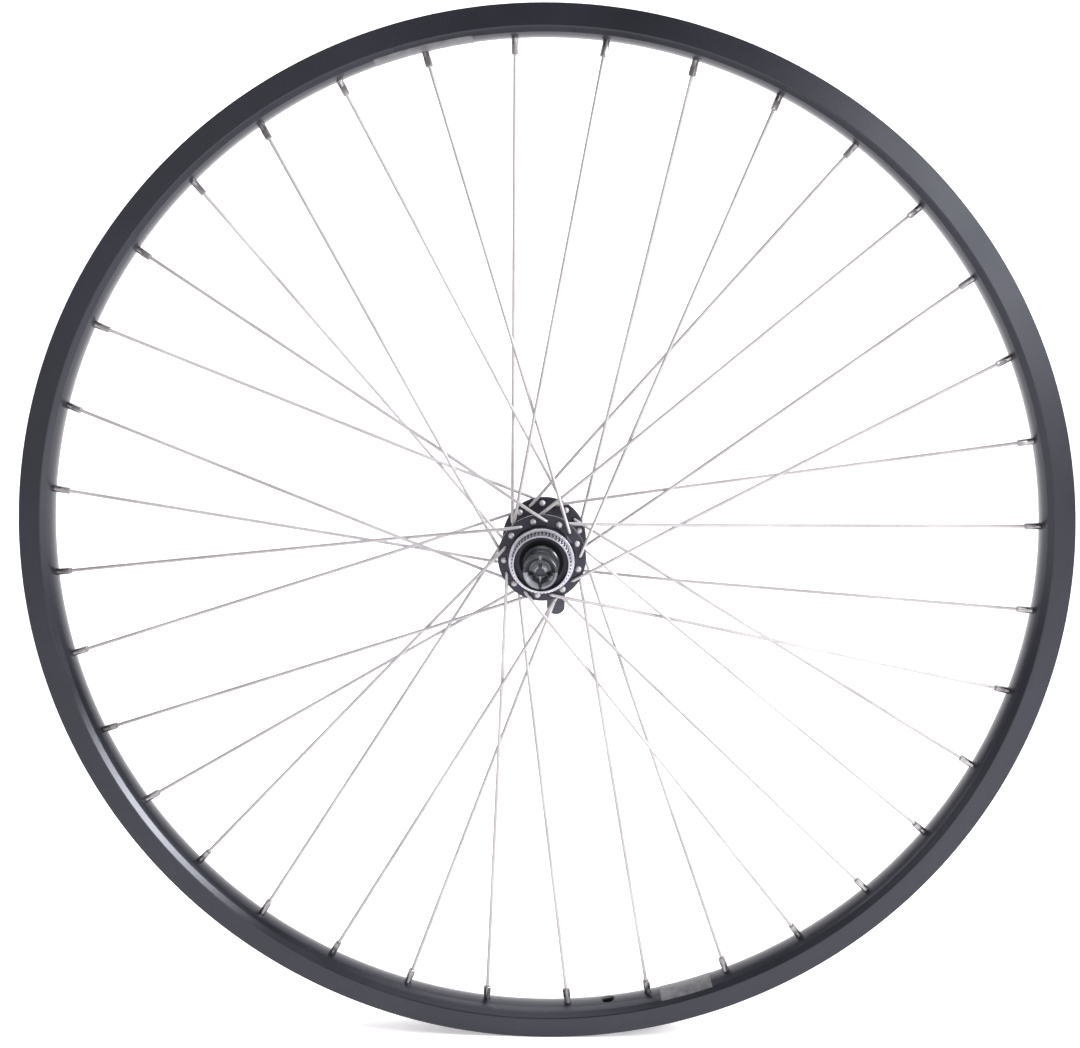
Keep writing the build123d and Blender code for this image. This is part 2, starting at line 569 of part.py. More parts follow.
# Cam housing of the skewer, open towards the axle
with BuildPart() as cam_housing:
    with BuildSketch(outboard(LEVER_SIDE, CLAMP_START)):
        with BuildLine():
            Polyline(
                (CLAMP_BORE_R, 0),
                (HOUSING_R - CLAMP_CHAMFER, 0),
                (HOUSING_R, CLAMP_CHAMFER),
                (HOUSING_R, HOUSING_LENGTH - HOUSING_EDGE),
                (HOUSING_R - HOUSING_EDGE, HOUSING_LENGTH),
                (0, HOUSING_LENGTH),
                (0, HOUSING_LENGTH - HOUSING_END_WALL),
                (HEAD_BORE_R, HOUSING_LENGTH - HOUSING_END_WALL),
                (HEAD_BORE_R, CLAMP_BORE_DEPTH),
                (CLAMP_BORE_R, CLAMP_BORE_DEPTH),
                close=True,
            )
        make_face()
    revolve(axis=Axis.Y)
    with BuildSketch(Plane.YZ):
        with Locations((PIVOT_OFFSET, 0)):
            Circle(LEVER_JOURNAL_DIAMETER / 2 + RUNNING_GAP)
    extrude(amount=HOUSING_DIAMETER, mode=Mode.SUBTRACT)
    with BuildSketch(Plane.YZ):
        with Locations((PIVOT_OFFSET, 0)):
            Circle(CAM_R + RUNNING_GAP)
    extrude(amount=-HOUSING_DIAMETER, mode=Mode.SUBTRACT)
save(cam_housing.part, "cam_housing")

# Skewer rod: its head is slotted for the cam
ROD_END = CLAMP_START + NUT_LENGTH - NUT_BOSS_DROP - ROD_END_INSET
with BuildPart() as skewer_rod:
    with BuildSketch(across_axle(LEVER_SIDE, -ROD_END)):
        Circle(ROD_DIAMETER / 2)
    extrude(amount=ROD_END + HEAD_CENTRE - ROD_HEAD_HALF)
    with BuildSketch(across_axle(LEVER_SIDE, HEAD_CENTRE - ROD_HEAD_HALF)):
        Circle(ROD_HEAD_DIAMETER / 2)
    extrude(amount=2 * ROD_HEAD_HALF)
    with BuildSketch(Plane.YZ):
        with Locations((HEAD_CENTRE, 0)):
            SlotOverall(2 * (CAM_R + CAM_THROW + CAM_GAP), 2 * (CAM_R + CAM_GAP), rotation=90)
    extrude(amount=ROD_HEAD_DIAMETER, both=True, mode=Mode.SUBTRACT)
save(skewer_rod.part, "skewer_rod")

# Lever: a bowed paddle on a cam shaft that crosses the housing
LEVER_OUT = LEVER_START + LEVER_BOSS_THICKNESS
PADDLE_WIDTH = LEVER_PADDLE_OUTER - LEVER_PADDLE_INNER
TIP_TOP = -LEVER_REACH + PADDLE_WIDTH / 2
with BuildPart() as skewer_lever:
    with BuildSketch(Plane.XZ.offset(-PIVOT_OFFSET)):
        with BuildLine():
            Polyline(
                (LEVER_PADDLE_OUTER, TIP_TOP),
                (LEVER_OUT, -LEVER_NECK),
                (LEVER_OUT, 0),
                (LEVER_START, 0),
                (LEVER_START, -LEVER_NECK),
                (LEVER_PADDLE_INNER, -LEVER_NECK - PADDLE_WIDTH / 2),
                (LEVER_PADDLE_INNER, TIP_TOP),
            )
            ThreePointArc(
                (LEVER_PADDLE_INNER, TIP_TOP),
                ((LEVER_PADDLE_INNER + LEVER_PADDLE_OUTER) / 2, -LEVER_REACH),
                (LEVER_PADDLE_OUTER, TIP_TOP),
            )
        make_face()
    extrude(amount=LEVER_BOW + LEVER_THICKNESS, both=True)
    with BuildSketch(Plane.YZ):
        with BuildLine():
            inner = ThreePointArc(
                (PIVOT_OFFSET - LEVER_THICKNESS / 2, 0),
                (PIVOT_OFFSET - LEVER_THICKNESS / 2 - LEVER_BOW, -LEVER_REACH / 2),
                (PIVOT_OFFSET - LEVER_THICKNESS / 2, -LEVER_REACH),
            )
            outer = ThreePointArc(
                (PIVOT_OFFSET + LEVER_THICKNESS / 2, 0),
                (PIVOT_OFFSET + LEVER_THICKNESS / 2 - LEVER_BOW, -LEVER_REACH / 2),
                (PIVOT_OFFSET + LEVER_THICKNESS / 2, -LEVER_REACH),
            )
            Line(inner @ 0, outer @ 0)
            Line(inner @ 1, outer @ 1)
        make_face()
    extrude(amount=LEVER_OUT, mode=Mode.INTERSECT)
    with BuildSketch(Plane.YZ.offset(LEVER_START)):
        with Locations((PIVOT_OFFSET, 0)):
            Circle(LEVER_BOSS_DIAMETER / 2)
    extrude(amount=LEVER_BOSS_THICKNESS)
    with BuildSketch(Plane.YZ.offset(HEAD_BORE_R)):
        with Locations((PIVOT_OFFSET, 0)):
            Circle(LEVER_JOURNAL_DIAMETER / 2)
    extrude(amount=LEVER_START - HEAD_BORE_R)
    with BuildSketch(Plane.YZ.offset(-CAM_END)):
        with Locations((PIVOT_OFFSET + CAM_THROW, 0)):
            Circle(CAM_R)
    extrude(amount=CAM_END + HEAD_BORE_R)
    with BuildSketch(Plane.YZ.offset(-CAM_END)):
        with Locations((PIVOT_OFFSET, 0)):
            Circle(CAM_R)
    extrude(amount=CAM_END - LEVER_START - LEVER_CAP_THICKNESS)
save(skewer_lever.part, "skewer_lever")

# Cap screwed on the far end of the cam shaft
with BuildPart() as lever_cap:
    with BuildSketch(Plane.YZ.offset(-LEVER_START)):
        with Locations((PIVOT_OFFSET, 0)):
            Circle(LEVER_CAP_DIAMETER / 2)
            Circle(CAM_R + PRESS_GAP, mode=Mode.SUBTRACT)
    extrude(amount=-LEVER_CAP_THICKNESS)
save(lever_cap.part, "lever_cap")
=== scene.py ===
from math import cos, hypot, pi, radians, sin, sqrt, tan

import bmesh
import bpy
from mathutils import Matrix, Vector


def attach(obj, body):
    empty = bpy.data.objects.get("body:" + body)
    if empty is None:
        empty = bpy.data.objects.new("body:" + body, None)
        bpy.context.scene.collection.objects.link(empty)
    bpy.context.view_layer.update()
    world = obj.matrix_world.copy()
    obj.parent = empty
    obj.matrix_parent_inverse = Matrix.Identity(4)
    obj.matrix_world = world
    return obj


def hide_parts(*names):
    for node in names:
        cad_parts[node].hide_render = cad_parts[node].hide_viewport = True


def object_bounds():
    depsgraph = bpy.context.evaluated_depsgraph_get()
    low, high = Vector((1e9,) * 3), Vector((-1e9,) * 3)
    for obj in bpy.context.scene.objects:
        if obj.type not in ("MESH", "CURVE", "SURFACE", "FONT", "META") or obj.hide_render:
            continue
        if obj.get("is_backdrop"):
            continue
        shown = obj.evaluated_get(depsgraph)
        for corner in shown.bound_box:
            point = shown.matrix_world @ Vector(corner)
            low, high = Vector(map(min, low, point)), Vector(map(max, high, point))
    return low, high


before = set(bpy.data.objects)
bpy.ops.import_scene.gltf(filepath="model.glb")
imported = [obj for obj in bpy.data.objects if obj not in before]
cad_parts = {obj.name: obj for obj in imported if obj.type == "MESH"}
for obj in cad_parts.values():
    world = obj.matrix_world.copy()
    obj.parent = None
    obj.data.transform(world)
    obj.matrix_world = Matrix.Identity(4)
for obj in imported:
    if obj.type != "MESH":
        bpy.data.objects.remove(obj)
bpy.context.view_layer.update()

# A spoked front bicycle wheel. Shapes are built in millimetres and written in metres, in the wheel's
# own frame: the axle along Y, the disc side at -Y and the lever side at +Y, with +Z up.
MM = 0.001
DISC_SIDE = -1
LEVER_SIDE = 1

# Rim
RIM_R = 317.0
BEAD_SEAT_R = 311.0
WELL_R = 308.0
SHOULDER_R = 304.2
BED_R = 299.0
RIM_HALF_WIDTH = 12.5
LIP_HALF_WIDTH = 9.5
SEAT_HALF_WIDTH = 7.3
WELL_HALF_WIDTH = 5.5
BED_HALF_WIDTH = 6.0
RIM_SIDE_WALL = 1.7
RIM_BED_WALL = 1.9
RIM_FLOOR_WALL = 1.4
HOOK_DEPTH = 3.2
HOOK_NOSE = 1.6
LIP_CHAMFER = 0.8
HALF_BED = [(301.4, 9.2), (300.45, 7.3), (299.7, 5.2), (299.22, 2.9)]
WALL_LEAD = 1.4                 # from a rounded edge to the corner that holds the side wall flat
CHAMFER_LEAD = (0.72, 0.9)      # the same on the chamfer, inwards and sideways
RIM_CREASE = 10
RIM_STEPS = 360
HOLLOW_STEPS = 180
VALVE_ANGLE = 278.06
VALVE_HOLE_R = 4.25
VALVE_DRILL = 16.0
ACCESS_HOLE_R = 4.1
ACCESS_HOLE_START = 5.7
ACCESS_DRILL = 8.0
NIPPLE_HOLE_R = 2.25
NIPPLE_DRILL = 5.5
LABEL_EDGE = (301.9, 9.79)
LABEL_PROUD = 0.12
LABEL_SUNK = 0.3
LABEL_STEPS = 12

# Spokes and nipples
SPOKE_COUNT = 36
RIM_PHASE = 3.06
RIM_PITCH = 360 / SPOKE_COUNT
HUB_PITCH = 2 * RIM_PITCH
LACING_TURN = 3 * HUB_PITCH
CROSSING_TURN = LACING_TURN - HUB_PITCH / 2
SPOKE_R = 1.0
SPOKE_HEAD_HEIGHT = 1.4
SPOKE_HEAD = ((0.0, 0.7), (0.2, 1.25), (0.55, 1.7), (0.95, 1.92), (SPOKE_HEAD_HEIGHT, 1.92),
              (SPOKE_HEAD_HEIGHT, SPOKE_R))
SPOKE_SIDES = 16
ELBOW_LIFT = 0.1
ELBOW_R = 1.3
LACE_BEND_R = 25.0
LACE_GAP = 0.1
BEND_STEP = 15
SPOKE_IN_RIM = 1.0
NIPPLE_R = 2.0
NIPPLE_REACH = 8.7
NIPPLE_TIP_FLATS = 3.3
NIPPLE_TIP_HEIGHT = 0.3
NIPPLE_MOUTH_FLATS = 2.376
NIPPLE_MOUTH_DEPTH = 0.5
NIPPLE_INNER_FLATS = 1.994
NIPPLE_KEY_FLATS = 3.696
NIPPLE_KEY_LENGTH = 5.0
NIPPLE_KEY_ROUND = 0.62
NIPPLE_SHOULDER = 5.8
NIPPLE_HEAD_START = 2.45
NIPPLE_HEAD_R = 3.0
NIPPLE_HEAD_TOP_R = 2.1
NIPPLE_HEAD_EDGE = 1.2
NIPPLE_HEAD_HEIGHT = 2.0
NIPPLE_BORE_R = 1.08
NIPPLE_SIDES = 16

# Hub
PRESS_GAP = 0.02
FLANGE_OFFSET = {DISC_SIDE: 23.2, LEVER_SIDE: 34.0}
FLANGE_R = 26.25
FLANGE_THICKNESS = 3.0
HOLE_CIRCLE_R = 22.5
SPOKE_HOLE_R = 1.3
BARREL_R = 14.0
BARREL_ROOT_R = 17.0
BARREL_FLARE = 10.0
NOSE_TIP_R = 15.75
SHELL_BORE_R = 9.3
SHELL_STEPS = 120
SHELL_DISC_END = -35.02
SHELL_LEVER_END = 43.02
CUP_SEAT_R = 13.02
DISC_CUP_FLOOR = -27.06
LEVER_CUP_FLOOR = 35.06
BALL_R = 2.38
BALL_COUNT = 10
BALL_CIRCLE_R = 9.2
BALL_ROW = {DISC_SIDE: -31.0, LEVER_SIDE: 39.0}

# Spline ring
SPLINE_COUNT = 52
SPLINE_R = 17.7
SPLINE_ROOT_R = 16.85
SPLINE_BORE_R = 15.9
SPLINE_STEPS = 4                # faces round a tooth and its gap, half of them the tooth's
SPLINE_FRONT_SLOPE = 0.3
DISC_SEAT_R = 19.45
DISC_SEAT_EDGE = 0.05           # from the teeth's tops to the flat seat
RING_START = -28.5
DISC_SEAT = -33.0
TEETH_END = -41.2
RING_END = -42.0
NEAR = 0.1

# Boot
BOOT_BORE_R = 7.55
BOOT_R = 11.0
BOOT_NECK_R = 9.4
BOOT_FRONT_R = 8.6
BOOT_START = -35.54
BOOT_SHOULDER = -39.9
BOOT_NECK = -41.1
BOOT_END = -45.4
BOOT_STEPS = 64

# Drills start this far outside what they cut; wider holes have more sides
DRILL_LEAD = 2.0
NARROW_HOLE_SIDES = 20
ACCESS_HOLE_SIDES = 24
VALVE_HOLE_SIDES = 32

# Points closer than this are one, in a new shape and in a copy of a CAD node
MERGE_DISTANCE = 0.0005
CAD_MERGE_DISTANCE = 0.001


def on_wheel(radius, angle, y):
    """A point at a radius and angle round the axle."""
    return Vector((radius * cos(radians(angle)), y, radius * sin(radians(angle))))


def from_axle(point):
    """A point's distance from the axle."""
    return hypot(point.x, point.z)


def aimed(point, direction):
    """A matrix that stands at a point with its Z along a direction."""
    return Matrix.Translation(point) @ direction.to_track_quat("Z", "Y").to_matrix().to_4x4()


class Lacing:
    """Where one spoke leaves its flange, crosses its partner and enters the rim."""

    def __init__(self, index):
        self.side = DISC_SIDE if index % 2 == 0 else LEVER_SIDE
        self.elbow_out = index % 4 >= 2
        lean = 1 if self.elbow_out else -1
        rim_angle = RIM_PHASE + index * RIM_PITCH
        hub_angle = rim_angle - lean * LACING_TURN
        self.away = Vector((0, self.side * lean, 0))
        hole = on_wheel(HOLE_CIRCLE_R, hub_angle, self.side * FLANGE_OFFSET[self.side])
        self.head_seat = hole - self.away * (FLANGE_THICKNESS / 2)
        self.corner = hole + self.away * (FLANGE_THICKNESS / 2 + SPOKE_R + ELBOW_LIFT)
        self.rim_seat = on_wheel(BED_R, rim_angle, 0)
        bisector = on_wheel(1, hub_angle + lean * CROSSING_TURN, 0)
        share = hole.cross(bisector).y / (hole - self.rim_seat).cross(bisector).y
        clear = self.away * (SPOKE_R + LACE_GAP / 2)
        self.crossing = hole + (self.rim_seat - hole) * share - clear
        self.axis = (self.rim_seat - self.crossing).normalized()
        flat_hole = on_wheel(HOLE_CIRCLE_R, hub_angle, 0)
        heading = (self.rim_seat - flat_hole).normalized()
        inward = flat_hole.dot(heading)
        clear_r = FLANGE_R + 2 * SPOKE_R
        to_exit = sqrt(inward**2 - HOLE_CIRCLE_R**2 + clear_r**2) - inward
        self.flange_exit = self.corner + heading * to_exit

    def route(self):
        """Corner points of the wire, from the head's seat to the threaded end."""
        leads_to = [self.flange_exit, self.crossing] if self.elbow_out else [self.crossing]
        return [self.head_seat, self.corner, *leads_to, self.rim_seat + self.axis * SPOKE_IN_RIM]

    def at_rim(self, distance):
        """Where a piece on the spoke's line sits, at a distance out from the rim's spoke bed."""
        return aimed(self.rim_seat + self.axis * distance, self.axis)


lacings = [Lacing(index) for index in range(SPOKE_COUNT)]


# Finishes

# Most of a noise's values lie between these
NOISE_LOW = 0.3
NOISE_HIGH = 0.7


def linear(hex_colour):
    """An sRGB hex colour as the linear values that a shader takes."""
    channels = [int(hex_colour[i:i + 2], 16) / 255 for i in (1, 3, 5)]
    return [c / 12.92 if c <= 0.04045 else ((c + 0.055) / 1.055) ** 2.4 for c in channels] + [1.0]


def add(tree, kind, inputs=None, feeds=None, tones=(), **settings):
    """Adds a node with its settings and links.

    An input is a value, a socket, or a node whose first output is meant. The new node's first output
    goes to the socket that it feeds. Two tones are the ends of a colour ramp.
    """
    node = tree.nodes.new(kind)
    for name, value in settings.items():
        setattr(node, name, value)
    for name, value in (inputs or {}).items():
        source = value.outputs[0] if isinstance(value, bpy.types.Node) else value
        if isinstance(source, bpy.types.NodeSocket):
            tree.links.new(source, node.inputs[name])
        else:
            node.inputs[name].default_value = source
    for index, tone in enumerate(tones):
        node.color_ramp.elements[index].position = (NOISE_LOW, NOISE_HIGH)[index]
        node.color_ramp.elements[index].color = linear(tone)
    if feeds:
        tree.links.new(node.outputs[0], feeds)
    return node


def new_finish(name, patch_size, tones, roughness=None, detail=3.0, **constants):
    """A material whose tone, and roughness if given, drift over soft patches of a size in millimetres."""
    material = bpy.data.materials.new(name)
    material.use_nodes = True
    tree = material.node_tree
    shader = tree.nodes["Principled BSDF"]
    for socket, value in constants.items():
        shader.inputs[socket.replace("_", " ")].default_value = value
    place = add(tree, "ShaderNodeTexCoord").outputs["Object"]
    inputs = {"Vector": place, "Scale": 1 / (patch_size * MM), "Detail": detail}
    patch = add(tree, "ShaderNodeTexNoise", inputs, name="patch")
    add(tree, "ShaderNodeValToRGB", {"Fac": patch}, shader.inputs["Base Color"], tones, name="tone")
    if roughness:
        inputs = {"Value": patch, "From Min": NOISE_LOW, "From Max": NOISE_HIGH,
                  "To Min": roughness[0], "To Max": roughness[1]}
        add(tree, "ShaderNodeMapRange", inputs, shader.inputs["Roughness"])
    return material


def axle_distance(tree):
    """Distance from the axle in metres, as a shader's value."""
    place = add(tree, "ShaderNodeTexCoord").outputs["Object"]
    flat = add(tree, "ShaderNodeMapping", {"Vector": place, "Scale": (1, 0, 1)})
    return add(tree, "ShaderNodeVectorMath", {0: flat}, operation="LENGTH").outputs["Value"]


def marked(material, size, depth, strength, roughness=None, rings=False):
    """Gives a finish fine marks of a size and depth in millimetres, as rings on a turned piece."""
    tree = material.node_tree
    shader = tree.nodes["Principled BSDF"]
    if rings:
        place = add(tree, "ShaderNodeCombineXYZ", {"X": axle_distance(tree)}).outputs["Vector"]
    else:
        place = add(tree, "ShaderNodeTexCoord").outputs["Object"]
    inputs = {"Vector": place, "Scale": 1 / (size * MM), "Detail": 2.0}
    marks = add(tree, "ShaderNodeTexNoise", inputs)
    if roughness:
        inputs = {"Value": marks, "From Min": NOISE_LOW, "From Max": NOISE_HIGH,
                  "To Min": roughness[0], "To Max": roughness[1]}
        add(tree, "ShaderNodeMapRange", inputs, shader.inputs["Roughness"])
    inputs = {"Height": marks, "Distance": depth * MM, "Strength": strength}
    add(tree, "ShaderNodeBump", inputs, shader.inputs["Normal"])


def show_wear_and_painted_light(material, mask, paler):
    """Lets a paler colour show through a finish where a mask is above zero: real wear on the rim's lips,
    painted light on the nut.
    """
    tree = material.node_tree
    inputs = {"Fac": mask, "Color1": tree.nodes["tone"], "Color2": paler}
    add(tree, "ShaderNodeMixRGB", inputs, tree.nodes["Principled BSDF"].inputs["Base Color"])


# Satin black anodised rim: an even dark satin, a faint cloudiness and pale scuffs along its outer lips.
# The etched grain is far finer in the real finish, and is drawn at half a millimetre to show at all.
LIP_WEAR = 0.7
SCUFF_SIZE = 16.67
SCUFF_LOW = 0.52
SCUFF_HIGH = 0.66
SCUFF_STRENGTH = 0.75
rim_black = new_finish("satin_black_anodised_rim", patch_size=71.43, tones=("#0d0e14", "#15161e"),
                       roughness=(0.22, 0.29), detail=4.0, Specular_Tint=linear("#edf0fd"))
marked(rim_black, size=0.5556, depth=0.02, strength=0.5)
tree = rim_black.node_tree
inputs = {"Value": axle_distance(tree), "From Min": (RIM_R - LIP_WEAR) * MM, "From Max": RIM_R * MM}
lip = add(tree, "ShaderNodeMapRange", inputs)
place = add(tree, "ShaderNodeTexCoord").outputs["Object"]
across_lip = add(tree, "ShaderNodeMapping", {"Vector": place, "Scale": (1, 0.3, 1)})
inputs = {"Vector": across_lip, "Scale": 1 / (SCUFF_SIZE * MM), "Detail": 6.0, "Roughness": 0.7}
scuff = add(tree, "ShaderNodeTexNoise", inputs)
inputs = {"Value": scuff, "From Min": SCUFF_LOW, "From Max": SCUFF_HIGH, "To Max": SCUFF_STRENGTH}
scuffed = add(tree, "ShaderNodeMapRange", inputs)
scuffed_lip = add(tree, "ShaderNodeMath", {0: lip, 1: scuffed}, operation="MULTIPLY")
show_wear_and_painted_light(rim_black, scuffed_lip, linear("#6f6f72"))

# Bright drawn stainless: a clean grey wire, dark at its edges, with slight tonal drift along its length.
# The marks of the drawing die are drawn about a millimetre long, coarser than they are.
spoke_steel = new_finish("drawn_stainless_wire", patch_size=40.0, tones=("#a8a5a7", "#c0bdbf"),
                         Metallic=1.0, Specular_Tint=linear("#8a878a"))
marked(spoke_steel, size=1.111, depth=0.01, strength=0.4, roughness=(0.54, 0.66))

# Nickel-plated brass: a bright, slightly warm metal, rougher in its darker patches.
nipple_plated = new_finish("nickel_plated_nipples", patch_size=6.25, tones=("#7a7779", "#9f9c9e"),
                           roughness=(0.36, 0.24), Metallic=1.0)

# Black anodised turned aluminium: dark satin with rings left by the lathe, which are drawn a few times
# their real width.
hub_black = new_finish("black_anodised_turned_hub", patch_size=8.333, tones=("#16161b", "#202026"),
                       Specular_Tint=linear("#e9e7ff"))
marked(hub_black, size=0.3846, depth=0.02, strength=0.5, roughness=(0.28, 0.42), rings=True)

# Machined aluminium: bright silver with fine turning rings, drawn a few times their real width.
spline_silver = new_finish("machined_aluminium_spline", patch_size=5.0, tones=("#9c9ca4", "#b8b8c0"),
                           Metallic=1.0)
marked(spline_silver, size=0.3333, depth=0.01, strength=0.4, roughness=(0.22, 0.36), rings=True)

# Spline roots: the same metal painted darker and rougher between the bright teeth, a painted shade for the
# shadow deep in the narrow gaps.
spline_root_shade = new_finish("painted_shade_spline_roots", patch_size=2.0, tones=("#706f74", "#8b8a8f"),
                         roughness=(0.45, 0.6), Metallic=1.0)

# Bare aluminium where the anodising doesn't reach, in the hollow and the drilled valve hole: a clean pale
# metal. Its marks from the extrusion die are drawn coarser than they are.
bare_aluminium = new_finish("bare_extruded_aluminium", patch_size=1.429, tones=("#b5b3b3", "#d2d0d0"),
                            roughness=(0.35, 0.5), detail=2.0, Metallic=1.0)

# Moulded rubber: a glossy black with dust and a faint pebble, which is drawn coarser than the mould's.
boot_rubber = new_finish("moulded_rubber_boot", patch_size=6.667, tones=("#2e3236", "#3c4044"),
                         roughness=(0.2, 0.32), detail=4.0, Coat_Weight=0.6, Coat_Roughness=0.2)
marked(boot_rubber, size=0.6667, depth=0.03, strength=0.6)

# Pressed dust cap: black oxide, nearly matt, with a trace of grease.
cap_black = new_finish("black_oxide_dust_cap", patch_size=4.167, tones=("#050607", "#0b0c0e"),
                       roughness=(0.6, 0.75), Specular_IOR_Level=0.25)

# Gloss black paint: deep black with soft waviness and a clear shine.
skewer_black = new_finish("gloss_black_painted_skewer", patch_size=11.11, tones=("#14161a", "#1e2025"),
                          roughness=(0.22, 0.36), detail=4.0, Coat_Weight=0.3, Coat_Roughness=0.12,
                          Specular_Tint=linear("#e9e7ff"))
marked(skewer_black, size=4.545, depth=0.04, strength=0.4)

# Black moulded nut: dark outside and in its dish, with a pale grey painted on two lobes, one rib and the
# dish's lower edge as painted light where light from above falls; the lobes beside the top groove stay dark
# as painted shade. The product of three distances in millimetres, from the dish's valley, the axle's height
# and the rib's side, is below zero on the painted faces.
DISH_VALLEY_R = 6.6
RIB_HALF_WIDTH = 0.8
PAINTED_LIGHT_TO_R = 9.3
UNPAINTED_FROM_R = 9.8
PAINTED_LIGHT_STARTS = -0.5
PAINTED_LIGHT_FULL = -4.0
nut_black = new_finish("black_moulded_nut_painted_light", patch_size=9.091, tones=("#191b1f", "#23252a"),
                       roughness=(0.26, 0.38), detail=4.0, Coat_Weight=0.2, Coat_Roughness=0.2)
tree = nut_black.node_tree
place = add(tree, "ShaderNodeTexCoord").outputs["Object"]
in_mm = add(tree, "ShaderNodeMapping", {"Vector": place, "Scale": (1 / MM, 1 / MM, 1 / MM)})
spot = add(tree, "ShaderNodeSeparateXYZ", {"Vector": in_mm})
inputs = {0: axle_distance(tree), 1: 1 / MM, 2: -DISH_VALLEY_R}
from_dish = add(tree, "ShaderNodeMath", inputs, operation="MULTIPLY_ADD")
across = add(tree, "ShaderNodeMath", {0: spot.outputs["X"]}, operation="ABSOLUTE")
from_rib = add(tree, "ShaderNodeMath", {0: across, 1: RIB_HALF_WIDTH}, operation="SUBTRACT")
level = add(tree, "ShaderNodeMath", {0: from_dish, 1: spot.outputs["Z"]}, operation="MULTIPLY")
product = add(tree, "ShaderNodeMath", {0: level, 1: from_rib}, operation="MULTIPLY")
# Painted light: the pale grey goes where this product is below zero, on the faces lit from above, and stops
# short of the nut's outer edge
inputs = {"Value": product, "From Min": PAINTED_LIGHT_STARTS, "From Max": PAINTED_LIGHT_FULL}
painted_lit_faces = add(tree, "ShaderNodeMapRange", inputs)
inputs = {"Value": axle_distance(tree), "From Min": PAINTED_LIGHT_TO_R * MM, "From Max": UNPAINTED_FROM_R * MM,
          "To Min": 1.0, "To Max": 0.0}
within_edge = add(tree, "ShaderNodeMapRange", inputs)
painted_light = add(tree, "ShaderNodeMath", {0: painted_lit_faces, 1: within_edge}, operation="MULTIPLY")
painted_lit_grey = add(tree, "ShaderNodeValToRGB", {"Fac": tree.nodes["patch"]}, tones=("#6c6e75", "#7b7d84"))
show_wear_and_painted_light(nut_black, painted_light, painted_lit_grey)

# Zinc-plated steel: a dull blue-grey metal, clouded by handling.
axle_steel = new_finish("zinc_plated_steel", patch_size=5.556, tones=("#8d8f93", "#b0b1b4"),
                        roughness=(0.3, 0.46), detail=4.0, Metallic=1.0)

# Ground bearing steel: a hard bright metal with a thin film of grease.
bearing_steel = new_finish("ground_bearing_steel", patch_size=3.846, tones=("#a5a4a0", "#cccbc8"),
                           roughness=(0.08, 0.22), Metallic=1.0)

# Bare label film: a thin grey strip with nothing printed on it, rubbed paler in places.
label_film = new_finish("bare_grey_label_film", patch_size=4.545, tones=("#3c3c40", "#5c5c60"),
                        roughness=(0.32, 0.5), detail=4.0)

# Backdrop paper: an even near-white that glows a little, as paper lit from all round does.
paper = new_finish("pale_backdrop_paper", patch_size=33.33, tones=("#fbf9fb", "#ffffff"),
                   Roughness=0.9, Emission_Color=linear("#fffdff"), Emission_Strength=0.38)


# Shaping

def piece(name, bm, finish, body, nodes=(), second_finish=None, crease=30):
    """Writes a shape as a piece that rides on a body, in place of the CAD nodes that it stands for."""
    bmesh.ops.remove_doubles(bm, verts=bm.verts, dist=MERGE_DISTANCE)
    bmesh.ops.recalc_face_normals(bm, faces=bm.faces)
    bmesh.ops.scale(bm, vec=(MM, MM, MM), verts=bm.verts)
    mesh = bpy.data.meshes.new(name)
    bm.to_mesh(mesh)
    bm.free()
    mesh.shade_smooth()
    mesh.set_sharp_from_angle(angle=radians(crease))
    mesh.materials.append(finish)
    if second_finish:
        mesh.materials.append(second_finish)
    made = bpy.data.objects.new(name, mesh)
    bpy.context.scene.collection.objects.link(made)
    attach(made, body)
    if nodes:
        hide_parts(*nodes)
    return made


def edges_in(geometry):
    """The edges in what an operator made."""
    return [part for part in geometry if isinstance(part, bmesh.types.BMEdge)]


def mirrored(half_section):
    """The other half of a section that is the same on both sides of the wheel."""
    return [(radius, -y, *rounding) for radius, y, *rounding in reversed(half_section)]


def turned(section, steps, start=0.0, sweep=360.0):
    """A closed section turned about the axle; a corner is its radius, its y and, if rounded, by how much."""
    full = sweep == 360.0
    bm = bmesh.new()
    corners = [bm.verts.new((radius, y, 0)) for radius, y, *_ in section]
    bm.faces.new(corners)
    for size in sorted({size for _, _, *rounding in section for size in rounding}):
        chosen = [corner for corner, (_, _, *rounding) in zip(corners, section) if size in rounding]
        bmesh.ops.bevel(bm, geom=chosen, offset=size, offset_type="OFFSET", segments=3, profile=0.5,
                        affect="VERTICES", clamp_overlap=True, material=-1)
    if full:
        bmesh.ops.delete(bm, geom=bm.faces[:], context="FACES_ONLY")
    bmesh.ops.rotate(bm, matrix=Matrix.Rotation(-radians(start), 3, "Y"), verts=bm.verts)
    geometry = bm.verts[:] + bm.edges[:] + bm.faces[:]
    bmesh.ops.spin(bm, geom=geometry, axis=(0, -1, 0), angle=radians(sweep), steps=steps, use_merge=full)
    bmesh.ops.remove_doubles(bm, verts=bm.verts, dist=MERGE_DISTANCE)
    bmesh.ops.recalc_face_normals(bm, faces=bm.faces)
    return bm


def joined(bm, other, matrix=Matrix.Identity(4)):
    """Adds a copy of another shape, placed by a matrix."""
    mesh = bpy.data.meshes.new("copy")
    other.to_mesh(mesh)
    mesh.transform(matrix)
    bm.from_mesh(mesh)
    bpy.data.meshes.remove(mesh)


def drill(bm, matrix, radius, length, sides):
    """Adds one straight round drill that starts at a matrix and runs along its Z."""
    middle = matrix @ Matrix.Translation((0, 0, length / 2))
    bmesh.ops.create_cone(bm, cap_ends=True, segments=sides, radius1=radius, radius2=radius,
                          depth=length, matrix=middle)


